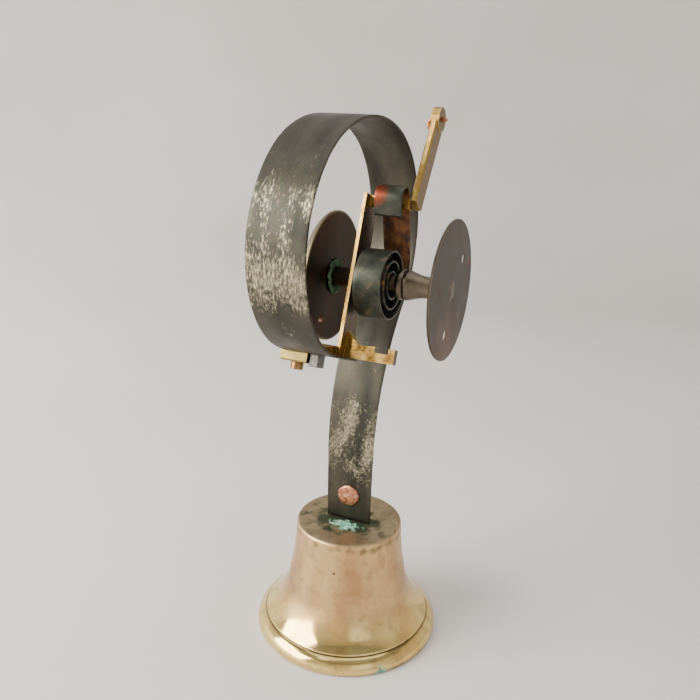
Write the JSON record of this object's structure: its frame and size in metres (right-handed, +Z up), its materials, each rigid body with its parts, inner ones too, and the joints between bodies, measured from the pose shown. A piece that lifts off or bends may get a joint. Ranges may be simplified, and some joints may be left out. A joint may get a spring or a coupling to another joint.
{
  "type": "servants call bell",
  "caption": "Antique servants' call bell: brass bell with clapper on a flat steel scroll spring, carried by a sprung brass carriage with a pull arm on a round wall plate's spindle.",
  "frame": {"origin": "centre of the wall plate's wall face, on the spindle's axis", "axes": "+Y into the wall along the spindle, +Z up, so the bell stands below the spindle and slightly towards -X"},
  "size_m": [0.1253, 0.0974, 0.2639],
  "materials": {
    "patinated_brass": "dark brown patina",
    "spindle_steel": "worn, oily",
    "verdigris_solder": "green corrosion over solder",
    "carriage_brass": "hand-filed, half tarnished",
    "rusty_spring_steel": "blued, rust at the edges",
    "scaled_spring_steel": "mill scale with worn bright patches",
    "bell_metal": "polished, slightly clouded",
    "copper": "hammered copper",
    "wrought_iron": "dark, oxidised"
  },
  "bodies": {
    "root": {"wall_plate": "patinated_brass", "neck": "patinated_brass", "spindle": "spindle_steel", "spring_arbor": "spindle_steel", "front_plate": "patinated_brass", "hub_spacer": "patinated_brass", "hub_ring": "verdigris_solder"},
    "carriage": {"carriage_frame": "carriage_brass", "carriage_bush": "carriage_brass", "pull_arm": "carriage_brass", "return_spring": "rusty_spring_steel", "scroll_spring_loop": "scaled_spring_steel", "clamp_block": "carriage_brass", "clamp_screw": "copper", "keeper_tab": "scaled_spring_steel"},
    "bell": {"scroll_spring_tail": "scaled_spring_steel", "bell": "bell_metal", "bell_tang": "wrought_iron", "tail_rivet": "copper", "tang_washer": "wrought_iron", "tang_nut": "wrought_iron"},
    "clapper": {"clapper_rod": "wrought_iron", "clapper_ball": "wrought_iron"},
    "pull_hook": {"pull_hook": "copper"}
  },
  "joints": [
    {"name": "carriage_turn", "type": "hinge", "parent": "root", "child": "carriage", "pos_m": [0, -0.042, 0], "axis": [0, 1, 0], "range_deg": [-8, 40], "stiffness_Nm_per_rad": 0.46, "deforming": ["return_spring"]},
    {"name": "scroll_flex", "type": "hinge", "parent": "carriage", "child": "bell", "pos_m": [-0.0619, -0.05, 0.01579], "axis": [0, 1, 0], "range_deg": [-10, 10], "stiffness_Nm_per_rad": 2.1, "springref_deg": 4.81},
    {"name": "clapper_swing", "type": "hinge", "parent": "bell", "child": "clapper", "pos_m": [-0.016, -0.05, -0.1448], "axis": [0, 1, 0], "range_deg": [-40, 40]},
    {"name": "pull_hook_swing", "type": "hinge", "parent": "carriage", "child": "pull_hook", "pos_m": [-0.03795, -0.0225, 0.06771], "axis": [0, 1, 0], "range_deg": [-80, 80]}
  ]
}
